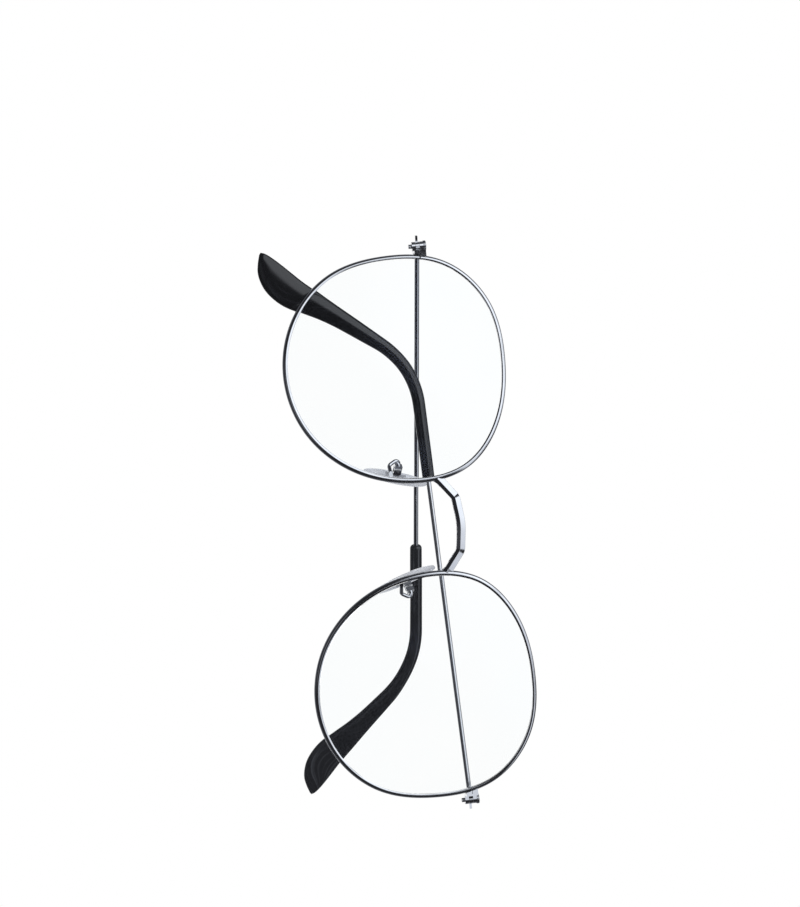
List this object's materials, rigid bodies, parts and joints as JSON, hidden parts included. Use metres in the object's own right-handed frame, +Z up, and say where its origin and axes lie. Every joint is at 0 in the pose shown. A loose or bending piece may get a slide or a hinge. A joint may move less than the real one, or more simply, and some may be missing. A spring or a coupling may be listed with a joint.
{
  "type": "eyeglasses",
  "caption": "Round wire-rimmed eyeglasses with an arched bridge, clear lenses, adjustable nose pads, folding wire temples and slim dark plastic temple tips.",
  "frame": {"origin": "the nose rest, halfway between the two nose pads at the middle of their height", "axes": "+X to the wearer's left, +Y toward the wearer (the front faces -Y), +Z up; temples folded as in the picture"},
  "size_m": [0.1376, 0.0499, 0.0558],
  "materials": {
    "frame_metal": "bright plated wire, polished",
    "lens": "clear, slightly reflective",
    "temple_tip": "black, glossy",
    "nose_pad": "clear soft plastic",
    "pad_core": "plain metal insert",
    "screw": "slotted screws, turned"
  },
  "bodies": {
    "front": {"bridge": "frame_metal", "left_rim": "frame_metal", "left_lens": "lens", "left_end_piece": "frame_metal", "left_upper_block": "frame_metal", "left_lower_block": "frame_metal", "left_lock_screw": "screw", "left_hinge_screw": "screw", "left_pad_arm": "frame_metal", "left_pad_screw": "screw", "right_rim": "frame_metal", "right_lens": "lens", "right_end_piece": "frame_metal", "right_upper_block": "frame_metal", "right_lower_block": "frame_metal", "right_lock_screw": "screw", "right_hinge_screw": "screw", "right_pad_arm": "frame_metal", "right_pad_screw": "screw"},
    "left_temple": {"left_temple_knuckle": "frame_metal", "left_temple_arm": "frame_metal", "left_temple_tip": "temple_tip"},
    "right_temple": {"right_temple_knuckle": "frame_metal", "right_temple_arm": "frame_metal", "right_temple_tip": "temple_tip"},
    "left_pad": {"left_nose_pad": "nose_pad", "left_pad_core": "pad_core"},
    "right_pad": {"right_nose_pad": "nose_pad", "right_pad_core": "pad_core"}
  },
  "joints": [
    {"name": "left_temple_hinge", "type": "hinge", "parent": "front", "child": "left_temple", "pos_m": [0.0663, 0.00336, 0.0112], "axis": [0, 0, -1], "range_deg": [0, 91]},
    {"name": "right_temple_hinge", "type": "hinge", "parent": "front", "child": "right_temple", "pos_m": [-0.0663, 0.00336, 0.0112], "axis": [0, 0, 1], "range_deg": [-9, 76]},
    {"name": "left_pad_rock", "type": "hinge", "parent": "front", "child": "left_pad", "pos_m": [0.01397, -0.00062, 0.00056], "axis": [0.2955, 0.9511, 0.0903], "range_deg": [-8, 8]},
    {"name": "right_pad_rock", "type": "hinge", "parent": "front", "child": "right_pad", "pos_m": [-0.01397, -0.00062, 0.00056], "axis": [-0.2955, 0.9511, 0.0903], "range_deg": [-8, 8]}
  ]
}
